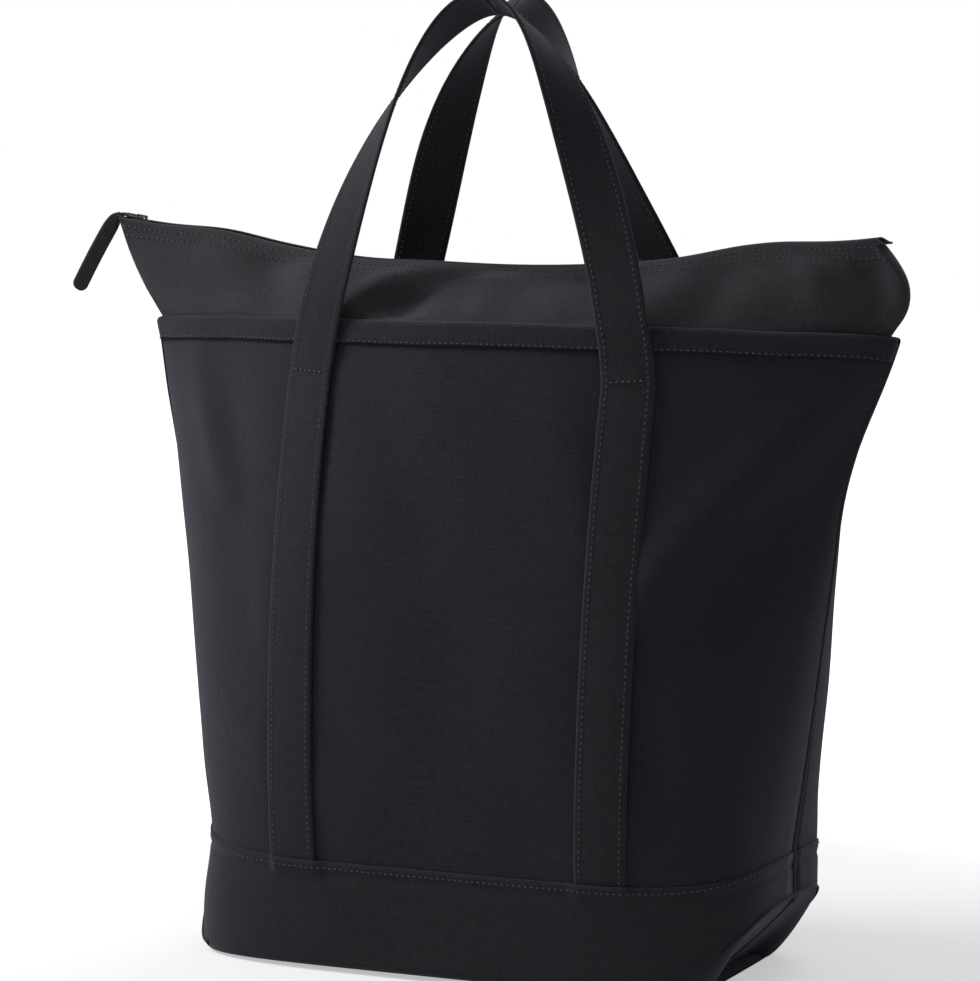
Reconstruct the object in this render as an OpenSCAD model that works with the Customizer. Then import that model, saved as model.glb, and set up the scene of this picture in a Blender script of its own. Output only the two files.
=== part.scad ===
// Zip-top canvas tote bag, standing open on its base. Millimetres, +Z up, front towards -Y.
// The origin is the middle of the base's underside. Each sheet of cloth is a thin closed solid.

/* [Bag body] */
// Height of the bag at the two tips of its mouth
body_h = 424; // [400:1:450]
// How much higher the mouth's edge is at the middle of a panel
mouth_arch = 8; // [0:1:12]
// Half length of the bottom
bottom_half_l = 204; // [190:1:215]
// Half depth of the bottom
bottom_half_w = 98; // [88:1:108]
// Half length of the mouth, from its middle to a tip
mouth_half_l = 267; // [250:1:280]
// Half depth of the mouth where the bag stands widest
mouth_half_w = 68; // [60:1:76]
// How far the front and the back belly out
belly = 8; // [0:1:12]
// Height of the smooth canvas base band at the front
base_h = 75; // [60:1:84]
// How much higher the base band is at the side seams
base_rise = 12; // [0:1:16]
// How far the bottom's two ends curve up off the ground, at the side seams
end_lift = 50; // [10:1:54]
// Height of the band that binds the mouth
hem_h = 15; // [12:1:20]

/* [Cloth] */
// Thickness of the heavy ribbed canvas
canvas_t = 1.4; // [1:0.1:1.6]
// Thickness of the smooth canvas
twill_t = 0.9; // [0.7:0.1:1.1]
// Thickness of the hem band, a folded strip
hem_t = 1.8; // [1.4:0.1:2]
// Clear space between one sheet and the next
layer_gap = 0.2; // [0.15:0.05:0.3]

/* [Straps and handles] */
// Width of the straps and handles
strap_w = 35; // [30:1:38]
// Thickness of a strap, folded and stitched
strap_t = 2.8; // [2:0.1:3]
// Distance of a strap's middle from the middle of the bag, at the cross-stitching
strap_x = 115; // [105:1:122]
// The same distance at the base
strap_foot_x = 111; // [105:1:122]
// Height of the cross-stitching, where a strap leaves the bag
tack_z = 390; // [380:1:394]
// Height of a handle's crown
crown_z = 643; // [630:1:680]
// How far a handle's crown stays from the bag's middle plane
crown_y = 18; // [17:0.5:24]
// Turn of a handle's band at its crown, from lying flat on the bag
crown_turn = 115; // [90:1:120]

/* [Zip] */
// Height of the zip at the middle of the bag
ridge_z = 470; // [466:1:478]
// How much higher the zip is at its ends
ridge_sag = 22; // [16:1:26]
// Distance from the middle to the height that the sag is measured at
ridge_half_l = 275; // [270:1:280]
// Distance of the left ear's tip, past the mouth, from the middle
ear_l = 292; // [290:1:294]
// Distance of the right ear's tip, which is tucked in, from the middle
right_ear_l = 268; // [264:1:272]
// Distance of the zip's top stops from the middle, at the left
stop_x = 288; // [287:1:289]
// Distance of the zip's bottom stop from the middle, at the right
bottom_stop_x = 260; // [256:1:262]
// Distance of the slider from the middle, along X, with the zip closed
slider_x = 279; // [270:1:280]
// Length of the pull tab's hanging part
tab_l = 58; // [40:1:64]
// Width of the pull tab
tab_w = 10; // [8:1:12]
// Lean of the hanging tab, from level
tab_lean = 68; // [50:1:75]

/* [Hidden] */

canvas_colour = [0.155, 0.16, 0.185];
twill_colour = [0.165, 0.165, 0.18];
strap_colour = [0.17, 0.17, 0.185];
zip_colour = [0.21, 0.215, 0.23];
metal_colour = [0.55, 0.55, 0.56];

seam_gap = 0.3;             // half the gap between the front and the back cloth
across = 32;                // steps of the cloth from one side seam to the other
fold_r = 6;                 // rounding of the base's bottom edge, along the front
strap_lift = layer_gap + canvas_t;
strap_steps = 12;
handle_steps = 20;          // rings in each half of a handle
handle_gap = 3.8;           // between a stitched strap and its handle
handle_tack_y = 69.5;       // distance of a handle's middle from the middle plane, at its foot
foot_turn = 10;             // turn of a handle's band at its foot, to lie along the bag

zip_r = (pow(ridge_half_l, 2) + pow(ridge_sag, 2)) / (2 * ridge_sag);
zip_centre_z = ridge_z + zip_r;
slider_turn = asin(slider_x / zip_r);
stop_turn = asin(stop_x / zip_r);
bottom_stop_turn = asin(bottom_stop_x / zip_r);
tape_from = -asin((ear_l - 2) / zip_r);
tape_to = asin((right_ear_l - 2) / zip_r);
teeth_groups = 16;          // short groups of loops in a row of teeth
teeth_split = 0.003;        // half the turn between two groups
teeth_in = 0.65;            // nearest and furthest edges of a row of teeth, from the zip's middle
teeth_out = 2.6;
teeth_t = 2.2;
tape_out = 6.2;
tape_t = 0.7;
fold_y = 5.6;               // edge of a zip panel's fold, from the zip's middle
shoulder_y = 9.3;
fold_up = 1.6;              // height of that fold above the middle of the tape
skirt_h = 13;               // part of a zip panel that is held behind the hem

slider_l = 13;
slider_half_w = 4.4;
plate_t = 1;
plate_z = 1.6;              // inner face of a slider plate, from the middle of the tape
flange_in = 2.95;
flange_z = 0.7;
bail_z = 5.6;               // top of the bail over the slider
pin_z = 3.8;                // the pull turns about this height
pin_r = 0.7;
link_l = 8.4;
tab_t = 2.4;
tab_bend_r = 9;
tab_flat_l = 4;

function lerp(a, b, t) = a + (b - a) * t;
function ease(t) = (1 - cos(180 * t)) / 2;
function unit(v) = v / norm(v);

// The wall's section at each height is a superellipse. It is a rounded rectangle at the
// bottom and narrows to a lens with two pointed ends at the mouth.
function rise(z) = z / body_h;
function half_l(z) = lerp(bottom_half_l, mouth_half_l, pow(rise(z), 1.9));
function half_w(z) = lerp(bottom_half_w, mouth_half_w, pow(rise(z), 3)) + belly * sin(180 * rise(z));
function power_l(z) = 0.45 + 0.55 * pow(rise(z), 1.3);
function power_w(z) = 0.45 + 1.55 * pow(rise(z), 2.2);
function top_z(turn) = body_h + mouth_arch * sin(turn);
function base_top(turn) = base_h + base_rise * pow(abs(cos(turn)), 4);
function fold_at(turn) = lerp(fold_r, end_lift, pow(abs(cos(turn)), 8));

// A point of the front wall's inner face. turn is 0 at the left seam and 180 at the right one.
function wall(turn, z) =
    let (c = cos(turn), s = sin(turn))
    [-sign(c) * half_l(z) * pow(abs(c), power_l(z)), -seam_gap - half_w(z) * pow(s, power_w(z)), z];

// The level direction out of the front wall
function wall_out(turn, z) =
    let (d = wall(min(turn + 1, 180), z) - wall(max(turn - 1, 0), z))
    unit([d.y, -d.x, 0]);
function off_wall(turn, z, out) = wall(turn, z) + out * wall_out(turn, z);

// The front wall's distance from the middle plane, at a place along the bag
function wall_y(x, z) =
    seam_gap + half_w(z) * pow(1 - pow(abs(x) / half_l(z), 2 / power_l(z)), power_w(z) / 2);

function steps(from, to, n) = [for (i = [0:n]) lerp(from, to, i / n)];
turns = steps(0, 180, across);

// The direction out of a grid of points. Its rows go up, and each row goes from left to right
// as seen from the outside.
function grid_out(g, i, j) =
    let (last_i = len(g) - 1, last_j = len(g[0]) - 1)
    unit(cross(g[i][min(j + 1, last_j)] - g[i][max(j - 1, 0)],
               g[min(i + 1, last_i)][j] - g[max(i - 1, 0)][j]));

// A sheet of cloth that lies from inner to outer, measured out of a grid of points
module cloth(g, inner, outer) {
    rows = len(g);
    cols = len(g[0]);
    n = rows * cols;
    rim = concat([for (j = [0:cols - 1]) j],
                 [for (i = [1:rows - 1]) i * cols + cols - 1],
                 [for (j = [cols - 2:-1:0]) (rows - 1) * cols + j],
                 [for (i = [rows - 2:-1:1]) i * cols]);
    points = [for (d = [outer, inner]) for (i = [0:rows - 1]) for (j = [0:cols - 1])
        g[i][j] + d * grid_out(g, i, j)];
    faces = concat(
        [for (i = [0:rows - 2]) for (j = [0:cols - 2])
            let (a = i * cols + j, b = a + 1, c = a + cols, d = c + 1)
            each [[a, c, d], [a, d, b], [n + a, n + d, n + c], [n + a, n + b, n + d]]],
        [for (k = [0:len(rim) - 1])
            let (p = rim[k], q = rim[(k + 1) % len(rim)])
            each [[p, q, n + q], [p, n + q, n + p]]]);
    polyhedron(points, faces, convexity = 8);
}

// A closed solid through rings of points, which run anticlockwise as seen from the last ring
module swept(rings) {
    m = len(rings[0]);
    last = (len(rings) - 1) * m;
    points = [for (ring = rings) each ring];
    faces = concat(
        [[for (k = [0:m - 1]) k]],
        [for (r = [0:len(rings) - 2]) for (k = [0:m - 1])
            let (a = r * m + k, b = r * m + (k + 1) % m)
            each [[a, a + m, b + m], [a, b + m, b]]],
        [[for (k = [m - 1:-1:0]) last + k]]);
    polyhedron(points, faces, convexity = 8);
}

module back() { mirror([0, 1, 0]) children(); }
module right() { mirror([1, 0, 0]) children(); }

// One half of the ribbed canvas body, from the bottom to the mouth
module wall_panel() {
    color(canvas_colour)
        cloth([for (h = steps(0, 1, 14))
                  [for (turn = turns) wall(turn, lerp(fold_at(turn) + 1, top_z(turn), h))]],
              0, canvas_t);
}

// The outline of the bottom's flat part, at a distance out of where its edge starts to curve up
function bottom_outline(out) =
    let (half = [for (turn = turns) off_wall(turn, 0, out - fold_at(turn))])
    concat([for (p = half) [p.x, p.y]], [for (i = [across:-1:0]) [half[i].x, -half[i].y]]);

// The canvas that closes the body under its load
module inner_bottom() {
    color(canvas_colour)
        translate([0, 0, twill_t + layer_gap])
            linear_extrude(canvas_t) polygon(bottom_outline(-3));
}

// The smooth canvas base: a flat bottom, and a band that turns up over the front and the back
module base_panel() {
    out = canvas_t + layer_gap + twill_t;
    rows = concat(
        [for (bend = [0:30:90])
            [for (turn = turns)
                off_wall(turn, fold_at(turn) * (1 - cos(bend)), out - fold_at(turn) * (1 - sin(bend)))]],
        [for (h = [1:4])
            [for (turn = turns) off_wall(turn, lerp(fold_at(turn), base_top(turn), h / 4), out)]]);
    color(twill_colour) {
        linear_extrude(twill_t) polygon(bottom_outline(out - layer_gap));
        cloth(rows, -twill_t, 0);
        back() cloth(rows, -twill_t, 0);
    }
}

// A strip of canvas, folded over the mouth's raw edge
module hem_band() {
    out = canvas_t + layer_gap + hem_t / 2 + 0.3;
    over = layer_gap + hem_t / 2 + 0.7;
    folds = [[0, out], [over * 0.75, out * 0.8], [over, layer_gap]];
    rows = concat(
        [[for (turn = turns) off_wall(turn, top_z(turn) - hem_h, out)]],
        [for (f = folds) [for (turn = turns) off_wall(turn, top_z(turn), f[1]) + [0, 0, f[0]]]]);
    color(canvas_colour) cloth(rows, -hem_t / 2, hem_t / 2);
}

// The bound seam allowance, which stands in from the side seam
module seam_binding() {
    depth = 11;
    inset = 4.5;
    heights = steps(end_lift + 10, body_h - hem_h, 16);
    color(twill_colour)
        rotate([90, 0, 0])
            linear_extrude(2, center = true)
                polygon(concat([for (z = heights) [inset - half_l(z), z]],
                               [for (i = [16:-1:0]) [inset + depth - half_l(heights[i]), heights[i]]]));
}

// The stitched part of a strap, from the base's top seam to the cross-stitching
module body_strap() {
    foot = base_h + 1;
    function place(h, k) =
        let (x = -lerp(strap_foot_x, strap_x, h) + k * strap_w / 2, z = lerp(foot, tack_z, h))
        [x, -wall_y(x, z), z];
    color(strap_colour)
        cloth([for (h = steps(0, 1, strap_steps)) [for (k = [-1, 0, 1]) place(h, k)]],
              strap_lift + layer_gap, strap_lift + layer_gap + strap_t);
}

// The handle's middle line, from its foot on the left to its crown, in the bag's own directions.
// A handle folds out about a level line at the outermost edge of its two feet.
function bezier(a, b, c, d, t) =
    a * pow(1 - t, 3) + 3 * b * t * pow(1 - t, 2) + 3 * c * t * t * (1 - t) + d * pow(t, 3);
foot_z = tack_z + handle_gap;
function handle_pt(t) =
    let (z = bezier(foot_z, tack_z + 99, crown_z, crown_z, t), s = (z - foot_z) / (crown_z - foot_z))
    [-bezier(strap_x, strap_x - 11, 52, 0, t),
     -lerp(handle_tack_y, crown_y, s) - 3 * sin(180 * s), z];
function handle_turn(t) = lerp(foot_turn, crown_turn, ease(pow(t, 1.35)));

// The band's section at a place on the handle. It lies along the bag at the foot and has
// turned over by the crown.
function handle_ring(t) =
    let (along = unit(handle_pt(min(t + 0.01, 1)) - handle_pt(t - 0.01)),
         facing = unit([0, -1, 0] - along * (along * [0, -1, 0])),
         outward = cross(along, facing),
         flip = outward.x < 0 || outward.z > 0 ? 1 : -1,
         face = facing * cos(handle_turn(t)) + flip * outward * sin(handle_turn(t)),
         wide = cross(face, along))
    [for (k = [[-1, -1], [1, -1], [1, 1], [-1, 1]])
        handle_pt(t) + wide * k[0] * strap_w / 2 + face * k[1] * strap_t / 2];

module handle() {
    left = [for (i = [0:handle_steps]) handle_ring(i / handle_steps)];
    other = [for (i = [handle_steps - 1:-1:0])
        [for (p = left[i]) [-p.x, p.y, p.z]]];
    color(strap_colour) swept(concat(left, other));
}

// The zip is an arc about a level line high above the bag, and x places a point along it
function ridge(x, y, up) = [x, y, zip_centre_z - sqrt(zip_r * zip_r - x * x) + up];

// The cloth between the hem and the zip. Its ends stick out past the mouth as ears.
module zip_panel() {
    tip_in = 6;
    wide_in = 4;
    function low(turn, z) = [-cos(turn) * (mouth_half_l - tip_in),
                             -1.5 - (mouth_half_w - wide_in) * pow(sin(turn), 2), z];
    function high(turn, y, up) = ridge(-cos(turn) * (turn < 90 ? ear_l : right_ear_l), -y, up);
    function between(turn, t) =
        lerp(low(turn, top_z(turn)), high(turn, shoulder_y, fold_up - 0.4), t)
        - [0, 5, -2] * sin(180 * t) * sin(turn);
    rows = concat([[for (turn = turns) low(turn, top_z(turn) - skirt_h)]],
                  [for (t = [0, 0.3, 0.6, 0.85, 1]) [for (turn = turns) between(turn, t)]],
                  [[for (turn = turns) high(turn, fold_y, fold_up)]]);
    color(zip_colour) cloth(rows, -twill_t, 0);
}

// A strip that follows the zip from one turn to another
module along_zip(from, to, y_from, y_to, z_from, z_to) {
    translate([0, 0, zip_centre_z])
        rotate([90, 0, 0])
            rotate([0, 0, -90 + from])
                translate([0, 0, -y_to])
                    rotate_extrude(angle = to - from, $fn = 720)
                        translate([zip_r - z_to, 0]) square([z_to - z_from, y_to - y_from]);
}

// Moves its children from the middle of the zip to a place along it
module at_zip(turn) {
    translate([0, 0, zip_centre_z]) rotate([0, -turn, 0]) translate([0, 0, -zip_r]) children();
}

module zip_tape() {
    color(zip_colour) along_zip(tape_from, tape_to, -tape_out, -teeth_out - 0.1, -tape_t / 2, tape_t / 2);
}

module zip_teeth() {
    color("#303236")
        for (i = [0:teeth_groups - 1])
            along_zip(lerp(tape_from + 0.1, tape_to - 0.1, i / teeth_groups) + teeth_split,
                      lerp(tape_from + 0.1, tape_to - 0.1, (i + 1) / teeth_groups) - teeth_split,
                      -teeth_out, -teeth_in, -teeth_t / 2, teeth_t / 2);
}

// Stops clamped on the tape beside each row of teeth
module zip_top_stops() {
    for (side = [-1, 1])
        color(metal_colour)
            at_zip(-stop_turn)
                translate([0, side * (teeth_out + 2), tape_t / 2 + 0.6]) cube([2, 1.6, 1], center = true);
}

module zip_bottom_stop() {
    color(metal_colour)
        at_zip(bottom_stop_turn)
            translate([0, 0, teeth_t / 2 + 0.6]) cube([3, 7, 1], center = true);
}

// Two plates joined by a web between the rows of teeth, with flanges that guide the tape
module zip_slider() {
    color(metal_colour)
        at_zip(-slider_turn)
            for (side = [-1, 1]) {
                plate_from = side > 0 ? plate_z : -plate_z - plate_t;
                translate([-slider_l / 2, -slider_half_w, plate_from])
                    cube([slider_l, 2 * slider_half_w, plate_t]);
                for (edge = [-slider_half_w, flange_in])
                    translate([-slider_l / 2, edge, side > 0 ? flange_z : -plate_z])
                        cube([slider_l, slider_half_w - flange_in, plate_z - flange_z]);
            }
    color(metal_colour)
        at_zip(-slider_turn) {
            translate([-2, -seam_gap, -plate_z]) cube([4, 2 * seam_gap, 2 * plate_z]);
            difference() {
                translate([-4, -0.6, plate_z + plate_t]) cube([8, 1.2, bail_z - plate_z - plate_t]);
                translate([-2.6, -1, plate_z + plate_t])
                    cube([5.2, 2, bail_z - plate_z - plate_t - 0.8]);
            }
        }
}

// A wire loop: a pin through the bail, two arms, and a bar that holds the tab
module pull_link() {
    color(metal_colour)
        at_zip(-slider_turn)
            translate([0, 0, pin_z]) {
                for (place = [0, -link_l])
                    translate([place, 0, 0])
                        rotate([90, 0, 0]) cylinder(r = pin_r, h = 9, center = true, $fn = 32);
                for (side = [-1, 1])
                    translate([-link_l / 2, side * 4.5, 0])
                        rotate([0, 90, 0]) cylinder(r = pin_r, h = link_l, center = true, $fn = 32);
            }
}

// A folded strip of canvas that comes level off the link, bends over the ear and hangs
module pull_tab() {
    start = link_l + pin_r + 0.4;
    corner = start + tab_flat_l;
    function edge(d) = concat(
        [[start, d], [corner, d]],
        [for (a = [tab_lean / 4:tab_lean / 4:tab_lean])
            [corner + (tab_bend_r + d) * sin(a), (tab_bend_r + d) * cos(a) - tab_bend_r]],
        [[corner + (tab_bend_r + d) * sin(tab_lean) + tab_l * cos(tab_lean),
          (tab_bend_r + d) * cos(tab_lean) - tab_bend_r - tab_l * sin(tab_lean)]]);
    upper = edge(tab_t / 2);
    lower = edge(-tab_t / 2);
    color(zip_colour)
        at_zip(-slider_turn)
            translate([0, 0, pin_z])
                rotate([90, 0, 0])
                    linear_extrude(tab_w - 1.6, center = true)
                        mirror([1, 0])
                            polygon(concat(upper, [for (i = [len(lower) - 1:-1:0]) lower[i]]));
}

wall_panel();  // front_panel
back() wall_panel();  // back_panel
inner_bottom();
base_panel();
hem_band();  // front_hem_band
back() hem_band();  // back_hem_band
seam_binding();  // left_seam_binding
right() seam_binding();  // right_seam_binding
body_strap();  // front_left_strap
right() body_strap();  // front_right_strap
back() body_strap();  // back_left_strap
back() right() body_strap();  // back_right_strap
handle();  // front_handle
back() handle();  // back_handle
zip_panel();  // front_zip_panel
back() zip_panel();  // back_zip_panel
zip_tape();  // front_zip_tape
back() zip_tape();  // back_zip_tape
zip_teeth();  // front_zip_teeth
back() zip_teeth();  // back_zip_teeth
zip_top_stops();
zip_bottom_stop();
zip_slider();
pull_link();
pull_tab();
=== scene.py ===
# %% [markdown]
# # A zip-top canvas tote bag
# The bag is sewn from a few flat cuts of cloth: two ribbed panels, a smooth base that turns
# up round them, a band over the raw edge of the mouth, four stitched straps that run on
# into two handles, and two panels that close over the top with a zip. The frame already
# holds every part as a plain solid, with its joints. Each cut of cloth is made here again
# as its own sheet, with sag, folds, thickness, stitches and a weave.

# %% Load the frame
import math

import bmesh
import bpy
from mathutils import Matrix, Vector, noise


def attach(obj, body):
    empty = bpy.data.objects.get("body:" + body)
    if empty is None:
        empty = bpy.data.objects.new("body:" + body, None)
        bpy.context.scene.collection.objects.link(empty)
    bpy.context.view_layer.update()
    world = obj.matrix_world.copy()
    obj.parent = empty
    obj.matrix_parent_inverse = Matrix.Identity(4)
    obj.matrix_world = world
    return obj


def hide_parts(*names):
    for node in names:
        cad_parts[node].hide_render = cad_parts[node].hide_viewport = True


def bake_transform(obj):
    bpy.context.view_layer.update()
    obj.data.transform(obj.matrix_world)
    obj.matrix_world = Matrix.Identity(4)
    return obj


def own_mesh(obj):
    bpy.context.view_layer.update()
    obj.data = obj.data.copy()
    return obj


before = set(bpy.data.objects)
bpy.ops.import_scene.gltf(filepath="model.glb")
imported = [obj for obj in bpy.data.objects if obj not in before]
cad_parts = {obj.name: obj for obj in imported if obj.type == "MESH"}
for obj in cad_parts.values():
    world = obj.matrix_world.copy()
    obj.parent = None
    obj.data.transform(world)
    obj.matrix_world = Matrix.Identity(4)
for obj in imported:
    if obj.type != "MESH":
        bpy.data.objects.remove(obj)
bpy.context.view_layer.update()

# %% [markdown]
# ## Camera, light and floor
# A long lens a little above the bag, turned 24 degrees to its front, keeps the upright
# edges parallel. A soft lamp hangs up on the left, a weak one fills the front from the
# right, and a third hangs behind.
# The floor is a diffuse surface that adds light of its own for the camera only, so it
# reads as white paper and still takes the soft shadow.

# %% Camera
TURN = math.radians(24)
CAMERA_AWAY, CAMERA_HIGH = 2.68, 0.602
AIM_SIDE, AIM_HIGH = -0.0114, 0.317
LENS = 146.8

to_right = Vector((math.cos(TURN), math.sin(TURN), 0))
to_back = Vector((math.sin(TURN), -math.cos(TURN), 0))
camera = bpy.data.objects.new("camera", bpy.data.cameras.new("camera"))
camera.data.lens = LENS
camera.data.sensor_width = 36
camera.location = to_back * CAMERA_AWAY + Vector((0, 0, CAMERA_HIGH))
aim = to_right * AIM_SIDE + Vector((0, 0, AIM_HIGH))
camera.rotation_euler = (aim - camera.location).to_track_quat("-Z", "Y").to_euler()
bpy.context.scene.collection.objects.link(camera)
bpy.context.scene.camera = camera
bpy.context.scene.view_settings.view_transform = "Standard"


# %% Lamps
def soft_lamp(name, place, size, watts, colour=(1, 1, 1)):
    """A square area lamp that faces the middle of the bag."""
    data = bpy.data.lights.new(name, "AREA")
    data.size, data.energy, data.color = size, watts, colour
    lamp = bpy.data.objects.new(name, data)
    lamp.location = place
    lamp.rotation_euler = (Vector((0, 0, 0.25)) - lamp.location).to_track_quat("-Z", "Y").to_euler()
    bpy.context.scene.collection.objects.link(lamp)


soft_lamp("key", (-1.7, -0.62, 1.80), 0.8, 31, (1, 0.99, 0.98))
soft_lamp("fill", (1.2, -3.0, 2.2), 2.0, 4)
soft_lamp("back", (0.2, 2.4, 2.4), 1.6, 16)


# %% [markdown]
# ## Shader sums as Python sums
# A wire stands for one output of a node. Adding or multiplying wires adds the Math nodes,
# so a pattern reads as a formula. Every other node comes from `Look.node`.

# %% Wires and looks
class Wire:
    """One output socket, with the sums that the patterns need."""

    def __init__(self, look, socket):
        self.look, self.socket = look, socket

    def math(self, operation, *values):
        return self.look.node("ShaderNodeMath", {"operation": operation}, dict(enumerate(values)))

    def __add__(self, other):
        return self.math("ADD", self, other)

    def __mul__(self, other):
        return self.math("MULTIPLY", self, other)

    def __sub__(self, other):
        return self.math("SUBTRACT", self, other)

    def __rsub__(self, other):
        return self.math("SUBTRACT", other, self)

    __radd__, __rmul__ = __add__, __mul__


class Look:
    """A material and its principled shader."""

    def __init__(self, name):
        self.material = bpy.data.materials.new(name)
        self.material.use_nodes = True
        self.tree = self.material.node_tree
        self.shader = self.tree.nodes["Principled BSDF"]

    def node(self, kind, settings=None, inputs=None, output=0):
        made = self.tree.nodes.new(kind)
        for key, value in (settings or {}).items():
            setattr(made, key, value)
        for key, value in (inputs or {}).items():
            self.put(made.inputs[key], value)
        return Wire(self, made.outputs[output])

    def put(self, socket, value):
        if isinstance(value, Wire):
            self.tree.links.new(value.socket, socket)
        else:
            socket.default_value = value

    def set(self, **values):
        for key, value in values.items():
            self.put(self.shader.inputs[key.replace("_", " ")], value)

    def mix(self, factor, first, second):
        settings = {"data_type": "RGBA"}
        inputs = {0: factor, 6: first, 7: second}
        return self.node("ShaderNodeMix", settings, inputs, 2)

    def noise(self, where, scale, detail=2.0, rough=0.5):
        inputs = {"Vector": where, "Scale": scale, "Detail": detail, "Roughness": rough}
        return self.node("ShaderNodeTexNoise", {}, inputs)

    def stretch(self, where, scale):
        return self.node("ShaderNodeMapping", {}, {"Vector": where, "Scale": scale})

    def bump(self, height, strength, distance):
        inputs = {"Strength": strength, "Distance": distance, "Height": height}
        return self.node("ShaderNodeBump", {}, inputs)


# %% Floor and background
FADE_FROM, FADE_TO = 0.38, 0.85
FLOOR_HALF, FLOOR_DROP = 7, 0.0006


def stage_look():
    """Paper that fades from a shaded spot round the bag to plain white, for the camera."""
    look = Look("studio_floor")
    seen = look.node("ShaderNodeLightPath", {}, {}, "Is Camera Ray")
    place = look.node("ShaderNodeTexCoord", {}, {}, "Object")
    far = look.node("ShaderNodeVectorMath", {"operation": "LENGTH"}, {0: place}, "Value")
    fade = {"Value": far, "From Min": FADE_FROM, "From Max": FADE_TO, "To Min": 1.0, "To Max": 0.0}
    near = look.node("ShaderNodeMapRange", {"interpolation_type": "SMOOTHSTEP"}, fade)
    glow = look.mix(near, (1, 1, 1, 1), (0.47, 0.47, 0.47, 1))
    look.set(Base_Color=(0.80, 0.80, 0.81, 1), Roughness=0.9, Specular_IOR_Level=0.0)
    look.set(Emission_Color=look.mix(seen, (0, 0, 0, 1), glow), Emission_Strength=1.0)
    return look.material


mesh = bpy.data.meshes.new("floor")
bm = bmesh.new()
bmesh.ops.create_grid(bm, x_segments=1, y_segments=1, size=FLOOR_HALF)
bm.to_mesh(mesh)
bm.free()
floor = bpy.data.objects.new("floor", mesh)
mesh.transform(Matrix.Translation((0, 0, -FLOOR_DROP)))
bpy.context.scene.collection.objects.link(floor)
floor.data.materials.append(stage_look())

world = bpy.data.worlds.new("studio")
bpy.context.scene.world = world
world.use_nodes = True
tree = world.node_tree
tree.nodes.clear()
path = tree.nodes.new("ShaderNodeLightPath")
lit = tree.nodes.new("ShaderNodeBackground")
lit.inputs["Color"].default_value = (0.93, 0.96, 1.0, 1)
lit.inputs["Strength"].default_value = 0.22
white = tree.nodes.new("ShaderNodeBackground")
white.inputs["Color"].default_value = (1, 1, 1, 1)
pick = tree.nodes.new("ShaderNodeMixShader")
tree.links.new(path.outputs["Is Camera Ray"], pick.inputs[0])
tree.links.new(lit.outputs[0], pick.inputs[1])
tree.links.new(white.outputs[0], pick.inputs[2])
out = tree.nodes.new("ShaderNodeOutputWorld")
tree.links.new(pick.outputs[0], out.inputs[0])


# %% [markdown]
# ## Cloth looks
# Canvas is a plain weave of thick threads. On the body the level threads are the thicker
# ones, so it reads as fine level ribs that come and go. The patterns run on the cloth's own
# UV map, laid out in metres, so a thread follows the sheet round every fold.

# %% Cloth look
def cloth_look(name, colour, rib, thread, streak, depth, tone=1.25, sheen=0.25):
    """rib and thread are the pitches of the level and the upright threads, in metres, and
    streak is the level threads' share of the weave."""
    look = Look(name)
    place = look.node("ShaderNodeUVMap", {}, {})
    level = look.noise(look.stretch(place, (0.13 / thread, 1 / rib, 1)), 1.0, 3.0)
    upright = look.noise(look.stretch(place, (1 / thread, 0.08 / rib, 1)), 1.0, 2.0)
    slub = look.noise(look.stretch(place, (24, 420, 1)), 1.0, 2.0)
    cloud = look.noise(place, 9.0, 3.0)
    weave = level * streak + upright * (1 - streak)
    light = weave * 2.8 + slub * 0.5 + cloud * 0.5 - 1.4
    dark = tuple(c * 0.62 for c in colour) + (1,)
    pale = tuple(c * tone for c in colour) + (1,)
    look.set(Base_Color=look.mix(light, dark, pale), Roughness=cloud * 0.12 + 0.80)
    look.set(Sheen_Weight=sheen, Sheen_Roughness=0.45, Specular_IOR_Level=0.28)
    look.set(Sheen_Tint=(0.80, 0.88, 1.0, 1))
    look.set(Normal=look.bump(weave + slub * 0.25, 0.85, depth))
    return look.material


RIBBED = cloth_look("ribbed_canvas", (0.0212, 0.0218, 0.0295), 0.0009, 0.0007, 0.62, 0.0010)
HEM = cloth_look("hem_canvas", (0.0215, 0.0220, 0.0290), 0.0007, 0.0008, 0.35, 0.0007)
SMOOTH = cloth_look("smooth_canvas", (0.0235, 0.0235, 0.0285), 0.0006, 0.0006, 0.5, 0.00035)
STRAP = cloth_look("strap_canvas", (0.0245, 0.0243, 0.0295), 0.0006, 0.0006, 0.5, 0.00035)
ZIP_CLOTH = cloth_look("zip_canvas", (0.0400, 0.0425, 0.0465), 0.0007, 0.0007, 0.5, 0.0004)


# %% Thread, coil and metal looks
def plain_look(name, colour, rough, metallic, grain, scale):
    look = Look(name)
    place = look.node("ShaderNodeTexCoord", {}, {}, "Object")
    worn = look.noise(place, scale, 3.0)
    dark = tuple(c * 0.7 for c in colour) + (1,)
    look.set(Base_Color=look.mix(worn, dark, tuple(colour) + (1,)), Metallic=metallic)
    look.set(Roughness=worn * grain + rough, Normal=look.bump(worn, 0.3, 0.0002))
    return look.material


# The thread's colour is set well lighter than the cloth's to stand in for the highlights along the
# stitches: a painted highlight.
PAINTED_HIGHLIGHT_THREAD = plain_look("thread", (0.105, 0.108, 0.120), 0.45, 0.0, 0.2, 1500.0)
TAPE = plain_look("zip_tape", (0.045, 0.045, 0.050), 0.75, 0.0, 0.2, 1800.0)
COIL = plain_look("zip_coil", (0.030, 0.030, 0.034), 0.40, 0.0, 0.2, 900.0)
NICKEL = plain_look("dark_nickel", (0.20, 0.20, 0.21), 0.22, 1.0, 0.25, 300.0)

# %% [markdown]
# ## The shape of the bag
# At each height the wall is a superellipse: a rounded rectangle at the bottom that narrows
# to a lens with two pointed ends at the mouth. The walls, the mouth, the straps' feet and
# the zip's arc follow the frame's own values, in millimetres, so the sheets meet each other
# with no fitting. Some edges differ from it by a few millimetres.

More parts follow.
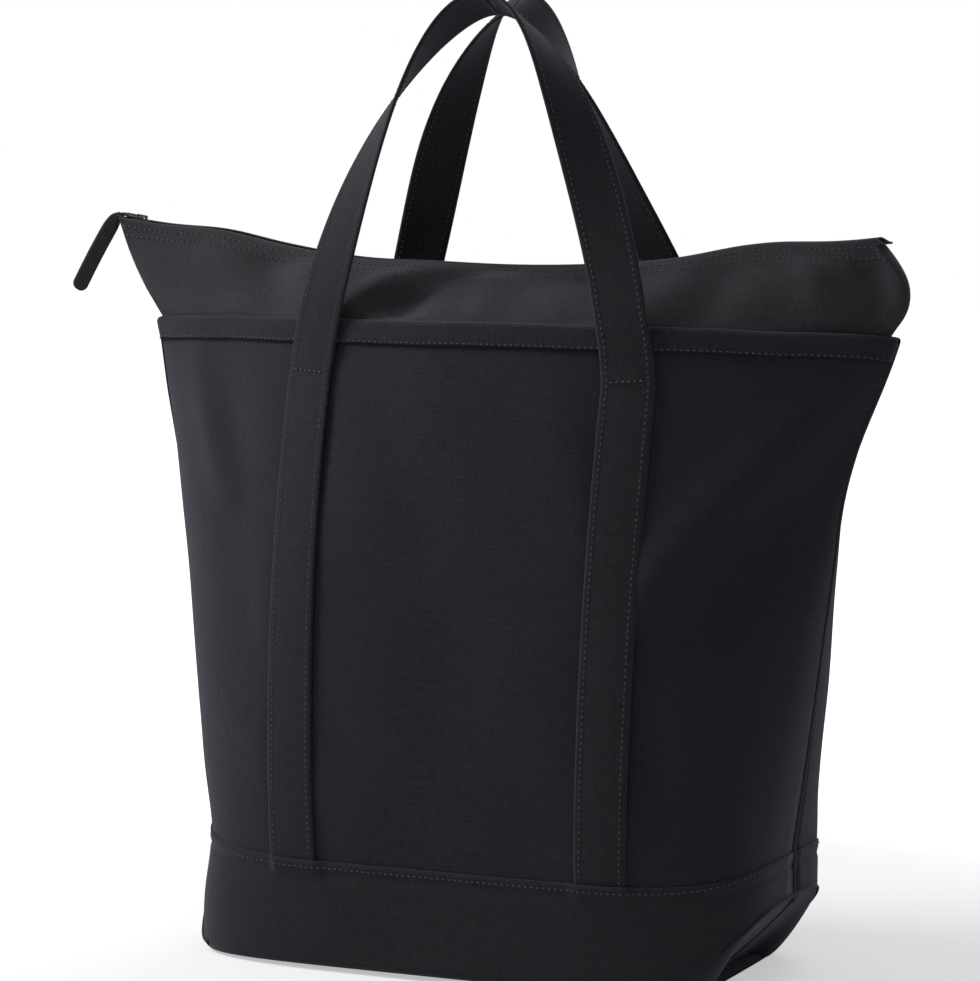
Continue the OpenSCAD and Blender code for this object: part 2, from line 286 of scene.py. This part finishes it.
# %% Values of the shape, in millimetres
MM = 0.001
BODY_H, MOUTH_ARCH = 424, 8
BOTTOM_L, BOTTOM_W = 204, 98
MOUTH_L, MOUTH_W, BELLY = 267, 68, 8
BASE_H, BASE_RISE, END_LIFT, FOLD_R = 75, 12, 50, 6
HEM_H = 12.5
CANVAS_T, TWILL_T, THIN_T, GAP = 1.4, 0.9, 0.7, 0.2
STRAP_W, STRAP_T = 35, 2.8
STRAP_X, STRAP_FOOT_X, TACK_Z = 115, 111, 390
CROWN_Z, CROWN_Y, FOOT_TURN, CROWN_TURN = 643, 18, 10, 115
RIDGE_Z, RIDGE_SAG, RIDGE_L, EAR_L, RIGHT_EAR_L = 470, 22, 275, 292, 268
ZIP_R = (RIDGE_L**2 + RIDGE_SAG**2) / (2 * RIDGE_SAG)
SLIDER_X = 279
BOTTOM_ARCH = 2


def lerp(a, b, t):
    return a + (b - a) * t


def smooth(a, b, value):
    t = min(1, max(0, (value - a) / (b - a)))
    return t * t * (3 - 2 * t)


def half_l(z):
    return lerp(BOTTOM_L, MOUTH_L, (max(z, 0) / BODY_H) ** 1.9)


def half_w(z):
    t = max(z, 0) / BODY_H
    return lerp(BOTTOM_W, MOUTH_W, t**3) + BELLY * math.sin(math.pi * t)


def power_l(z):
    return 0.45 + 0.55 * (max(z, 0) / BODY_H) ** 1.3


def power_w(z):
    return 0.45 + 1.55 * (max(z, 0) / BODY_H) ** 2.2


def top_z(turn):
    return BODY_H + MOUTH_ARCH * math.sin(turn)


def base_top(turn):
    return BASE_H + BASE_RISE * abs(math.cos(turn)) ** 4


def fold_at(turn):
    """The bottom's edge curves up late at the left end and early at the right one."""
    if turn < math.pi / 2:
        return lerp(FOLD_R, END_LIFT, abs(math.cos(turn)) ** 30)
    return lerp(FOLD_R, END_LIFT + 8, abs(math.cos(turn)) ** 3)


def wall(turn, z):
    """A point of the front wall, from the left seam at 0 to the right seam at pi."""
    c, s = math.cos(turn), max(0.0, math.sin(turn))
    x = -math.copysign(half_l(z) * abs(c) ** power_l(z), c)
    return Vector((x, -0.3 - half_w(z) * s ** power_w(z), z))


def wall_out(turn, z):
    d = wall(min(turn + 0.02, math.pi), z) - wall(max(turn - 0.02, 0), z)
    return Vector((d.y, -d.x, 0)).normalized()


def wall_y(x, z):
    share = min(1, abs(x) / half_l(z)) ** (2 / power_l(z))
    return 0.3 + half_w(z) * (1 - share) ** (power_w(z) / 2)


# %% [markdown]
# ## Folds
# Filled canvas never hangs even. Each soft fold is a line across the panel with a height
# and a width: a ridge where the cloth stands out, a valley where the height is negative.
# A little slow noise keeps the rest from looking machined.

# %% Folds of the front and the back, as x, z of both ends, height and width in millimetres
FRONT_FOLDS = [
    ((248, 402), (128, 262), 7.0, 20),
    ((262, 372), (166, 240), -7.5, 26),
    ((190, 300), (206, 120), -3.5, 30),
    ((-222, 404), (-178, 318), 4.5, 14),
    ((-196, 400), (-146, 250), -4.5, 20),
    ((-176, 330), (-120, 215), 3.0, 18),
    ((-62, 412), (-20, 300), -3.5, 26),
    ((60, 412), (96, 300), 3.0, 22),
    ((-30, 250), (60, 130), -4.0, 48),
    ((-150, 160), (-60, 100), 2.5, 26),
    ((90, 190), (190, 104), -3.0, 30),
]
BACK_FOLDS = [
    ((-240, 398), (-140, 262), 6.0, 20),
    ((230, 398), (150, 280), 5.0, 20),
    ((-60, 400), (10, 290), -4.0, 28),
    ((40, 240), (-60, 130), -4.0, 46),
    ((160, 300), (190, 130), -3.0, 30),
]


def fold_height(folds, x, z):
    total = 0.0
    for (x0, z0), (x1, z1), height, width in folds:
        along = ((x - x0) * (x1 - x0) + (z - z0) * (z1 - z0)) / ((x1 - x0) ** 2 + (z1 - z0) ** 2)
        k = min(1, max(0, along))
        far = math.hypot(x - lerp(x0, x1, k), z - lerp(z0, z1, k))
        total += height * math.exp(-((far / width) ** 2)) * (0.55 + 0.45 * math.sin(math.pi * k))
    return total


def hump(value, middle, width):
    return math.exp(-(((value - middle) / width) ** 2))


def sway(x, z):
    """The bag leans to its left half-way up, and its left end is drawn in over the base."""
    end = min(1, (x / half_l(z)) ** 2)
    if x < 0:
        return end * (8 * hump(z, 80, 36) - 5.5 * hump(z, 300, 85) + 3 * smooth(370, 430, z))
    return end * (2 * hump(z, 190, 70) - 3.5 * hump(z, 325, 40) + 8 * smooth(350, 430, z))


UNDER_STRAP_X, UNDER_STRAP_W = 113, 22


def drape(side, turn, z):
    """How far the cloth stands out of the plain wall, and the lean of its upper corners."""
    p = wall(turn, z)
    folds = FRONT_FOLDS if side < 0 else BACK_FOLDS
    held = smooth(0.02, 0.35, math.sin(turn)) * smooth(40, 120, z) * (1 - smooth(330, 425, z) * 0.55)
    clear = min(abs(abs(p.x) - UNDER_STRAP_X) / UNDER_STRAP_W, 1) ** 2
    slow = noise.noise(Vector((p.x / 70, side * 3.1, z / 90))) * 2.2
    out = (fold_height(folds, p.x, z) * lerp(0.45, 1, clear) + slow) * held
    pinch = 2.0 * hump(z, BASE_H + 12, 30) * (1 - smooth(0.0, 0.55, math.sin(turn)))
    return out - pinch, sway(p.x, z)


def on_side(p, side):
    """Places are worked out for the front; a back piece takes the same one, turned over."""
    return Vector((p.x, p.y if side < 0 else -p.y, p.z))


def off_wall(side, turn, z, out, soft=1.0):
    """A place of the front or back cloth, out of the wall, in millimetres."""
    more, lean = drape(side, turn, z)
    p = wall(turn, z) + wall_out(turn, z) * (out + more * soft)
    p.x += lean
    p.y = min(p.y, -0.2)
    return on_side(p, side)


# %% [markdown]
# ## Sheets
# A sheet starts as a flat grid. Its UV map is laid out while it is flat, in metres, and
# then each point moves to its place on the bag. Solidify gives the cloth its thickness.

# %% Helper that makes a sheet
def finish_mesh(name, bm, look, thick=None, soft=True):
    made = bpy.data.meshes.new(name)
    bm.to_mesh(made)
    bm.free()
    piece = bpy.data.objects.new(name, made)
    bpy.context.scene.collection.objects.link(piece)
    made.materials.append(look)
    for face in made.polygons:
        face.use_smooth = soft
    if thick:
        cloth = piece.modifiers.new("thickness", "SOLIDIFY")
        cloth.thickness, cloth.offset = thick * MM, -1
    return piece


def flat_grid(cols, rows, size):
    """A unit grid about the origin, with a UV map of the given size in metres."""
    bm = bmesh.new()
    bmesh.ops.create_grid(bm, x_segments=cols, y_segments=rows, size=0.5)
    uv = bm.loops.layers.uv.new("cloth")
    for face in bm.faces:
        for loop in face.loops:
            x, y, _ = loop.vert.co
            loop[uv].uv = ((x + 0.5) * size[0], (y + 0.5) * size[1])
    return bm


def sheet(name, cols, rows, size, place, look, thick, mirror=False):
    """place(u, v) gives millimetres; u runs left to right as seen from outside, v up."""
    bm = flat_grid(cols, rows, size)
    for vert in bm.verts:
        u, v = vert.co.x + 0.5, vert.co.y + 0.5
        vert.co = place(1 - u if mirror else u, v) * MM
    piece = finish_mesh(name, bm, look, thick)
    print(name, len(piece.data.polygons), "faces")
    return piece


def strip(name, section, steps, size, place, look, join):
    """A closed strip; place(along, k, lift) gives millimetres for a point of its section."""
    n = len(section)
    bm = flat_grid(n, steps, size)
    for vert in bm.verts:
        k, lift = section[round((vert.co.x + 0.5) * n) % n]
        vert.co = place(vert.co.y + 0.5, k, lift) * MM
    bmesh.ops.remove_doubles(bm, verts=bm.verts, dist=join)
    bmesh.ops.holes_fill(bm, edges=[e for e in bm.edges if e.is_boundary], sides=0)
    bmesh.ops.recalc_face_normals(bm, faces=bm.faces)
    return finish_mesh(name, bm, look)


def dress(piece, body, slot, *nodes):
    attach(piece, body)
    if nodes:
        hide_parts(*nodes)
    return piece


SIDES = {"front": -1, "back": 1}

# %% [markdown]
# ## Ribbed body panels
# Each panel goes from one side seam to the other and runs down behind the base band.

# %% Body panels
body = {}
for word, side in SIDES.items():
    def panel_place(u, v, side=side):
        turn = math.pi * u
        return off_wall(side, turn, lerp(fold_at(turn) + 1, top_z(turn) - 1, v), CANVAS_T)

    body[word] = sheet(
        f"{word}_body_cloth", 180, 120, (0.56, 0.43), panel_place, RIBBED, CANVAS_T, side > 0
    )
    dress(body[word], "bag", "ribbed_canvas", f"{word}_panel")

# %% [markdown]
# ## Base
# The base is one cut of smooth canvas: the bottom, and a band that turns up outside the
# body. Its top edge is turned under and stitched, and it bulges over the foot of each
# strap. The middle of its front edge doesn't quite reach the ground.

# %% Base band
BAND_OUT = CANVAS_T + GAP + TWILL_T
CURL = 0.32


def arch(turn, z):
    """How far the bottom edge lifts in the middle of the front and back."""
    return BOTTOM_ARCH * math.sin(turn) ** 3 * (1 - smooth(0, BASE_H, z))


def band_place(side, u, v):
    turn = math.pi * u
    fold, top = fold_at(turn), base_top(turn)
    if v < CURL:
        bend = math.pi / 2 * v / CURL
        blunt = lerp(1, 0.62, max(0, -math.cos(turn)) ** 2)
        z = fold * (1 - math.cos(bend)) ** blunt
        out = BAND_OUT - fold * (1 - math.sin(bend)) ** blunt
    else:
        z, out = lerp(fold, top, (v - CURL) / (1 - CURL)), BAND_OUT
    x = wall(turn, z).x
    near_strap = 1 - smooth(16, 22, abs(abs(x) - STRAP_FOOT_X))
    out += 2.6 * near_strap * smooth(top - 16, top - 4, z)
    out -= 0.9 * hump(z, top - 9.0, 2.6)
    p = off_wall(side, turn, z, out, smooth(30, 70, z))
    p.z += arch(turn, z)
    ripple = noise.noise(Vector((x / 60, side * 5.0, z / 45))) * 1.6 * smooth(8, 30, z)
    p.y += side * ripple * (1 - smooth(top - 20, top, z)) * math.sin(turn)
    return p


for word, side in SIDES.items():
    band = sheet(
        f"{word}_base_band", 180, 40, (0.56, 0.09),
        lambda u, v, side=side: band_place(side, u, v), SMOOTH, TWILL_T, side > 0,
    )
    dress(band, "bag", "smooth_canvas", "base_panel")


# %% Bottom
def bottom_place(up, shrink):
    def place(u, v):
        turn, k = math.pi * u, 2 * v - 1
        edge = wall(turn, 0) + wall_out(turn, 0) * (BAND_OUT - fold_at(turn) - shrink)
        lift = BOTTOM_ARCH * math.sin(turn) ** 3 * abs(k) ** 6
        return Vector((edge.x, -edge.y * k, up + lift))
    return place


bottom = sheet("base_bottom", 120, 40, (0.41, 0.19), bottom_place(0.9, 0), SMOOTH, TWILL_T)
dress(bottom, "bag", "smooth_canvas", "base_panel")
inner = sheet("inner_bottom_cloth", 60, 20, (0.40, 0.18), bottom_place(3.0, 3), RIBBED, CANVAS_T)
dress(inner, "bag", "ribbed_canvas", "inner_bottom")

# %% [markdown]
# ## Hem
# A strip of the same canvas, turned so that its threads stand upright, folds over the raw
# edge of the mouth and is held by one row of stitches.

# %% Hem band
def hem_place(side, u, v):
    turn = math.pi * u
    wave = 0.8 * noise.noise(Vector((u * 16, side * 2.0, 0.5)))
    folds = [(-HEM_H, 3.7), (-9, 3.9), (-4, 4.3), (0.6, 4.2), (2.2, 2.6), (2.6, 0.9), (2.0, -0.8),
             (0, -1.7), (-12, -1.9)]
    k = v * (len(folds) - 1)
    i = min(int(k), len(folds) - 2)
    z = lerp(folds[i][0], folds[i + 1][0], k - i)
    out = lerp(folds[i][1], folds[i + 1][1], k - i)
    out *= lerp(0.55, 1, smooth(0, 0.16, math.sin(turn)))
    return off_wall(side, turn, top_z(turn) + z + wave, out)


hem = {}
for word, side in SIDES.items():
    hem[word] = sheet(
        f"{word}_hem", 200, 32, (0.57, 0.034),
        lambda u, v, side=side: hem_place(side, u, v), HEM, THIN_T, side > 0,
    )
    dress(hem[word], "bag", "ribbed_canvas", f"{word}_hem_band")

# %% [markdown]
# ## Straps and handles
# One folded strip goes up the panel, over the mouth as a handle and down again. It is
# stitched to the bag up to the cross-stitching and free above it, where it turns on its
# edge towards the crown. Because it crosses the fold line, it blends from the bag to the
# handle there.

# %% Path of a strap
def bezier(a, b, c, d, t):
    k = 1 - t
    return a * k**3 + 3 * b * t * k * k + 3 * c * t * t * k + d * t**3


FOOT_Z, FOOT_Y = TACK_Z + 3.8, 69.5


def handle_point(t, side):
    """The left half of a handle; the back one is drawn in a little more."""
    z = bezier(FOOT_Z, TACK_Z + 99, CROWN_Z, CROWN_Z, t)
    s = (z - FOOT_Z) / (CROWN_Z - FOOT_Z)
    drawn_in, shoulder = (8, 51) if side < 0 else (26, 34)
    x = -bezier(STRAP_X, STRAP_X - drawn_in, shoulder, 0, t)
    return Vector((x, -lerp(FOOT_Y, CROWN_Y, s) - 3 * math.sin(math.pi * s), z))


def handle_axes(t, side, left):
    along = (handle_point(min(t + 0.01, 1), side) - handle_point(t - 0.01, side)).normalized()
    facing = (Vector((0, -1, 0)) - along * along.dot(Vector((0, -1, 0)))).normalized()
    outward = along.cross(facing)
    if not (outward.x < 0 or outward.z > 0):
        outward = -outward
    late = 1.2 if left and side < 0 else 1.35
    ease = (1 - math.cos(math.pi * t**late)) / 2
    turn = math.radians(lerp(FOOT_TURN, CROWN_TURN, ease))
    face = facing * math.cos(turn) + outward * math.sin(turn)
    return face.cross(along), face


STRAP_OUT, LET_GO = 3.2, 0.16


def strap_point(s, k, lift, side, left):
    """s from -1 at the foot, 0 at the cross-stitching, 1 at the crown; k across; lift out.
    Past the cross-stitching the strip leaves the wall over the share LET_GO of its run."""
    if s <= 0:
        z = lerp(BASE_H - 5, TACK_Z, s + 1)
        x = -lerp(STRAP_FOOT_X, STRAP_X, math.sin(math.pi / 2 * (s + 1))) + k * STRAP_W / 2
        soft = fold_height(FRONT_FOLDS, x, z) * 0.3 * smooth(BASE_H, 140, z) * (1 - smooth(330, 390, z))
        under = 1.2 * smooth(BASE_H + 14, BASE_H + 2, z)
        return Vector((x, -wall_y(x, z) - STRAP_OUT - lift - soft + under, z))
    wide, face = handle_axes(s, side, left)
    p = handle_point(s, side) - wide * k * STRAP_W / 2 + face * lift
    if s < LET_GO:
        flat = Vector((p.x, -wall_y(p.x, p.z) - STRAP_OUT - lift, p.z))
        p = flat.lerp(p, smooth(0, LET_GO, s))
    return p


def strap_at(q, k, lift, side):
    """q from 0 at the left foot to 1 at the right foot."""
    left = q <= 0.5
    s = q * 4 - 1 if left else 3 - q * 4
    p = strap_point(s, k if left else -k, lift, side, left)
    s = (p.z - FOOT_Z) / (CROWN_Z - FOOT_Z)
    shift = -5 * smooth(0, 0.8, s) if side < 0 else -9 * hump(s, 0.55, 0.3) * smooth(0, 0.25, s)
    if left:
        shift += (0.5 if side < 0 else 8) * hump(s, 0.5, 0.3) * smooth(0, 0.25, s)
    return Vector(((p.x if left else -p.x) + shift, p.y, p.z))


# %% Strap section: two leaves with rounded, stitched edges
ROW_K, ROW_LIFT = 0.77, 0.74
STRAP_SECTION = [
    (-1, 0), (-0.97, 0.62), (-0.9, 0.98), (-ROW_K, ROW_LIFT), (-0.6, 0.95), (0, 1.0),
    (0.6, 0.95), (ROW_K, ROW_LIFT), (0.9, 0.98), (0.97, 0.62), (1, 0), (0.97, -0.62),
    (0.9, -0.98), (ROW_K, -ROW_LIFT), (0, -0.95), (-ROW_K, -ROW_LIFT), (-0.9, -0.98), (-0.97, -0.62),
]
for word, side in SIDES.items():
    def band_of_strap(q, k, lift, side=side):
        return on_side(strap_at(q, k, lift * STRAP_T / 2, side), side)

    piece = strip(f"{word}_strap_and_handle", STRAP_SECTION, 220, (0.074, 1.36), band_of_strap, STRAP, 1e-6)
    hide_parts(f"{word}_handle", f"{word}_left_strap", f"{word}_right_strap")
    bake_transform(piece)
    print(piece.name, len(piece.data.polygons), "faces")

# %% [markdown]
# ## Zip top
# Two panels of lighter canvas rise from inside the hem to the zip. They stick out past the
# mouth as ears at both ends and sag between. Each has a folded edge beside the zip.

# %% Zip panels
def ridge_at(x):
    plain = RIDGE_Z + ZIP_R - math.sqrt(ZIP_R**2 - x * x)
    waves = 4.0 * hump(x, -215, 36) - 2.5 * hump(x, -110, 40) - 3.0 * hump(x, 10, 110)
    return plain + waves + 5.5 * hump(x, 180, 44) - 4 * smooth(260, 268, x)


FRONT_ZIP_FOLDS = [
    ((-30, 470), (-62, 434), -6.5, 13),
    ((-62, 470), (-92, 432), 4.0, 12),
    ((-176, 478), (-150, 436), -5.0, 15),
    ((-140, 474), (-120, 436), 3.0, 12),
    ((60, 470), (96, 436), -4.5, 16),
    ((170, 474), (150, 436), -4.5, 16),
    ((215, 480), (232, 440), 5.0, 12),
    ((256, 486), (250, 440), -6.0, 9),
    ((0, 470), (10, 434), 3.0, 14),
]
BACK_ZIP_FOLDS = [((-x0, z0), (-x1, z1), high, wide) for (x0, z0), (x1, z1), high, wide in FRONT_ZIP_FOLDS]
TUCK, EDGE = 0.12, 0.93


def zip_place(side, u, v):
    turn = math.pi * u
    c, s = math.cos(turn), math.sin(turn)
    low = Vector((-c * (MOUTH_L - 6), -1.6 - (MOUTH_W - 4) * s * s, top_z(turn)))
    low.x += sway(low.x, low.z) * 0.8
    x = -c * (EAR_L if c > 0 else RIGHT_EAR_L)
    high = Vector((x, -9.3, ridge_at(x) + 1.2))
    if v < TUCK:
        return on_side(Vector((low.x, low.y, low.z - 13 * (1 - v / TUCK))), side)
    if v > EDGE:
        k = (v - EDGE) / (1 - EDGE)
        bend = math.pi * k * 0.9
        p = high + Vector((0, 3.4 * k + 0.2, 0.9 * math.sin(bend)))
    else:
        t = (v - TUCK) / (EDGE - TUCK)
        p = low.lerp(high, t)
        hang = math.sin(math.pi * t)
        p.y -= 4.5 * hang * s
        p.z += 1.0 * hang * s
        fold = fold_height(FRONT_ZIP_FOLDS if side < 0 else BACK_ZIP_FOLDS, p.x, p.z)
        fold += 2.0 * noise.noise(Vector((p.x / 45, side * 7.0, p.z / 30)))
        amount = smooth(0, 0.18, t) * (1 - smooth(0.72, 0.97, t)) * smooth(0, 0.25, s)
        p.y -= fold * 0.8 * amount
        p.z += fold * 0.6 * amount
        p.x += (14 * hang - 6 * t**3) * c**8 if c < 0 else -4 * hang * c**8
    p.y = min(p.y, -1.2)
    return on_side(p, side)


zips = {}
for word, side in SIDES.items():
    zips[word] = sheet(
        f"{word}_zip_cloth", 200, 60, (0.585, 0.088),
        lambda u, v, side=side: zip_place(side, u, v), ZIP_CLOTH, TWILL_T, side > 0,
    )
    dress(zips[word], "bag", "zip_canvas", f"{word}_zip_panel")

# %% Ear ends
for word, u_end in (("left", 0.0), ("right", 1.0)):
    hand = -1 if word == "left" else 1

    def ear_place(u, v):
        """Across the end of an ear, from its front sheet to its back sheet."""
        up = lerp(0.02, 0.95, v)
        a, b = zip_place(-1, u_end, up), zip_place(1, u_end, up)
        p = a.lerp(b, u if hand > 0 else 1 - u)
        p.x += hand * (2.6 * math.sin(math.pi * u) * smooth(0.1, 0.4, v) - 0.4)
        return p

    ear = sheet(f"{word}_ear_end", 10, 60, (0.016, 0.088), ear_place, ZIP_CLOTH, TWILL_T)
    dress(ear, "bag", "zip_canvas")

# %% [markdown]
# ## Stitches
# A stitch is a tiny rounded grain of thread that lies in the cloth. Each row follows a line
# on the finished surface at an even pitch, and the rows of a sheet are one piece.

# %% Rows of stitches
PITCH, GRAIN_L, GRAIN_W = 4.2, 2.2, 1.0


SUNK = 0.18


def sew(bm, line, count=400, pitch=PITCH, grain=GRAIN_L, wide=GRAIN_W):
    """line(t) gives a place in millimetres and the way out of the cloth there."""
    spots = [line(i / count) for i in range(count + 1)]
    run, made = pitch / 2, 0
    for (p, out), (q, _) in zip(spots, spots[1:]):
        gap = (q - p).length
        while run <= gap and gap > 1e-6:
            along = (q - p).normalized()
            up = (out - along * out.dot(along)).normalized()
            axes = Matrix((along, up.cross(along), up)).transposed().to_4x4()
            size = Matrix.Diagonal((grain / 2, wide / 2, wide / 2, 1))
            place = Matrix.Translation(p + along * run + up * SUNK)
            bmesh.ops.create_icosphere(
                bm, subdivisions=1, radius=1, matrix=Matrix.Scale(MM, 4) @ place @ axes @ size
            )
            made += 1
            run += pitch
        run -= gap
    return made


def on_surface(place, step=1e-3):
    """Turns a place(u, v) into a place with its outward way, for a front piece."""
    def found(u, v):
        p = place(u, v)
        du = place(min(u + step, 1), v) - place(max(u - step, 0), v)
        dv = place(u, min(v + step, 1)) - place(u, max(v - step, 0))
        return p, du.cross(dv).normalized()
    return found


def row(bm, place, v_row, side, u_from=0.004, u_to=0.996, count=500):
    """A row along a sheet, at the height v_row of its place(u, v)."""
    at = on_surface(place)

    def line(t):
        p, out = at(lerp(u_from, u_to, t), v_row)
        return p, out * -side
    return sew(bm, line, count)


BAND_ROW, HEM_ROW, ZIP_ROWS = 0.955, 0.035, (0.875, 0.80)
for word, side in SIDES.items():
    bm = bmesh.new()
    total = row(bm, lambda u, v: band_place(side, u, v), BAND_ROW, side)
    total += row(bm, lambda u, v: hem_place(side, u, v), HEM_ROW, side)
    for v_row in ZIP_ROWS:
        total += row(bm, lambda u, v: zip_place(side, u, v), v_row, side, 0.03, 0.97)
    piece = finish_mesh(f"{word}_sheet_stitches", bm, PAINTED_HIGHLIGHT_THREAD)
    dress(piece, "bag", "strap_canvas")
    print(piece.name, total, "stitches")


def strap_line(side, k, q_from, q_to):
    def line(t):
        q = lerp(q_from, q_to, t)
        p, above = strap_at(q, k, ROW_LIFT * STRAP_T / 2, side), strap_at(q, k, STRAP_T, side)
        return on_side(p, side), on_side((above - p).normalized(), side)
    return line


TACK_Q = 0.2543  # the cross-stitching's share of the strap's run
for word, side in SIDES.items():
    bm = bmesh.new()
    for k in (-ROW_K, ROW_K):
        sew(bm, strap_line(side, k, 0.006, 0.994), 1600)

        def inner(t, k=k):
            p, out = strap_line(side, k, TACK_Q + 0.012, 0.75 - 0.016)(t)
            return p - out * ROW_LIFT * STRAP_T, -out
        sew(bm, inner, 800)
    for q in (TACK_Q, 1 - TACK_Q):
        def across(t, q=q):
            p, out = strap_line(side, lerp(-0.72, 0.72, t), q, q)(0)
            return p + out * 0.5, out
        sew(bm, across, 40, 4.0, 2.6, 1.35)
    piece = finish_mesh(f"{word}_strap_stitches", bm, PAINTED_HIGHLIGHT_THREAD)
    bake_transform(piece)


# %% [markdown]
# ## Side seams
# The two panels meet in a seam down the middle of each side. It shows as a narrow welt,
# which on the base ends at a level seam where the bottom turns up.

# %% Side seams
for word, turn in (("left", 0.0), ("right", math.pi)):
    hand = -1 if word == "left" else 1

    def welt_place(u, v):
        z = lerp(END_LIFT + 3, BODY_H - 1, v)
        base = 1 - smooth(BASE_H + BASE_RISE - 2, BASE_H + BASE_RISE + 2, z)
        p = off_wall(-1, turn, z, CANVAS_T + 0.25 + base * (TWILL_T + GAP))
        k = 2 * u - 1
        return Vector((p.x + hand * 0.9 * (1 - k * k), -hand * -2.4 * k, p.z))

    welt = sheet(f"{word}_side_seam", 6, 90, (0.005, 0.37), welt_place, SMOOTH, THIN_T)
    dress(welt, "bag", "smooth_canvas", f"{word}_seam_binding")

# %% Level seams at the base's ends
for word, hand in (("left", -1), ("right", 1)):
    def level_place(u, v):
        k = 2 * v - 1
        turn = math.pi / 2 + hand * (math.pi / 2 - abs(k) * 0.62)
        z = fold_at(turn)
        p = off_wall(-1, turn, z, BAND_OUT + 0.35)
        lift = 1.1 * math.cos(math.pi * (u - 0.5))
        return Vector((p.x + hand * lift, p.y if k < 0 else -p.y, p.z + 3.2 * (u - 0.5)))

    level = sheet(f"{word}_level_seam", 6, 60, (0.005, 0.10), level_place, SMOOTH, THIN_T, hand > 0)
    dress(level, "bag", "smooth_canvas")

# %% [markdown]
# ## Zip
# The coil is two rows of small nylon loops on woven tapes. The slider, its wire loop and
# the folded cloth tab hang over the left ear.

# %% Zip coil
def coil_row(word, side):
    bm = bmesh.new()
    start, end = -EAR_L + 3, RIGHT_EAR_L - 9
    count = int((end - start) / 2.2)
    for i in range(count):
        x = lerp(start, end, i / (count - 1))
        place = Matrix.Translation((x, side * 1.62, ridge_at(x)))
        local = Matrix.Rotation(-math.asin(x / ZIP_R), 4, "Y") @ Matrix.Rotation(math.pi / 2, 4, "X")
        size = Matrix.Diagonal((0.72, 1.05, 0.96, 1))
        bmesh.ops.create_cone(
            bm, cap_ends=True, segments=7, radius1=1, radius2=1, depth=2,
            matrix=Matrix.Scale(MM, 4) @ place @ local @ size,
        )
    piece = finish_mesh(f"{word}_zip_coil", bm, COIL)
    dress(piece, "bag", "coil", f"{word}_zip_teeth")
    print(piece.name, count, "loops")


for word, side in SIDES.items():
    coil_row(word, side)

    def tape_place(u, v, side=side):
        x = lerp(-EAR_L + 2, RIGHT_EAR_L - 6, u)
        return Vector((x, side * lerp(6.2, 2.2, v), ridge_at(x) + 0.35))

    tape = sheet(f"{word}_tape", 120, 4, (0.556, 0.014), tape_place, TAPE, THIN_T, side > 0)
    dress(tape, "bag", "tape", f"{word}_zip_tape")

# %% Pull tab
TAB_L, TAB_W, TAB_T, TAB_LEAN, TAB_BEND = 58, 10, 2.4, math.radians(68), 9
TAB_START, TAB_FLAT, TAB_SAG, TAB_TWIST = 6.5, 7.0, 1.6, math.radians(62)
PIN_RISE = 3.8
slider_turn = math.asin(SLIDER_X / ZIP_R)
at_slider = (
    Matrix.Translation((0, 0, RIDGE_Z + ZIP_R)) @ Matrix.Rotation(slider_turn, 4, "Y")
    @ Matrix.Translation((0, 0, -ZIP_R + PIN_RISE))
)


def tab_mid(d):
    """The tab's middle line in the slider's own plane: along and up, and its way up."""
    if d < TAB_FLAT:
        return Vector((TAB_START + d, 0)), Vector((0, 1))
    a = min((d - TAB_FLAT) / TAB_BEND, TAB_LEAN)
    p = Vector((TAB_START + TAB_FLAT + TAB_BEND * math.sin(a), TAB_BEND * math.cos(a) - TAB_BEND))
    rest = max(0, d - TAB_FLAT - TAB_BEND * TAB_LEAN)
    p += Vector((math.cos(a), -math.sin(a))) * rest
    p.y += TAB_SAG * math.sin(min(rest, TAB_L) / TAB_L * math.pi)
    return p, Vector((math.sin(a), math.cos(a)))


TAB_RUN = TAB_FLAT + TAB_BEND * TAB_LEAN + TAB_L
TAB_ROW_K = 0.62
TAB_SECTION = [
    (-1, 0), (-0.92, 0.8), (-TAB_ROW_K, 0.72), (0, 0.9), (TAB_ROW_K, 0.72), (0.92, 0.8),
    (1, 0), (0.92, -0.8), (TAB_ROW_K, -0.72), (0, -0.85), (-TAB_ROW_K, -0.72), (-0.92, -0.8),
]


def tab_point(d, k, lift):
    p, up = tab_mid(d)
    narrow = lerp(0.62, 1, smooth(0, 12, d))
    left = max(0, TAB_RUN - d) / (TAB_W / 2)
    tip = math.sqrt(max(0.0, 1 - max(0, 1 - left) ** 2))
    p = p + up * lift * TAB_T / 2 * lerp(0.55, 1, tip)
    twist = TAB_TWIST * smooth(6, 30, d)
    wide = k * TAB_W / 2 * narrow * max(tip, 0.05)
    across = up * wide * math.sin(twist)
    return at_slider @ Vector((-p.x + across.x, wide * math.cos(twist), p.y - across.y))


def tab_place(along, k, lift):
    """The steps get shorter towards the rounded tip."""
    return tab_point((1 - (1 - along) ** 1.5) * TAB_RUN, k, lift)


tab = strip("pull_tab_cloth", TAB_SECTION, 70, (0.022, 0.076), tab_place, ZIP_CLOTH, 1e-7)
dress(tab, "pull", "zip_canvas", "pull_tab")

bm = bmesh.new()
for k in (-TAB_ROW_K, TAB_ROW_K):
    def tab_line(t, k=k):
        d = lerp(9, TAB_RUN - 4, t)
        return tab_point(d, k, 0.8), (tab_point(d, k, 2) - tab_point(d, k, 0)).normalized()
    sew(bm, tab_line, 200, 3.4, 2.0, 0.7)
tab_thread = finish_mesh("pull_tab_stitches", bm, PAINTED_HIGHLIGHT_THREAD)
dress(tab_thread, "pull", "zip_canvas")
for piece in (tab, tab_thread):
    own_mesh(piece)

# %% Metal parts that keep the frame's own shape
for name in ("zip_slider", "pull_link", "zip_top_stops", "zip_bottom_stop"):
    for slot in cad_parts[name].material_slots:
        slot.material = NICKEL
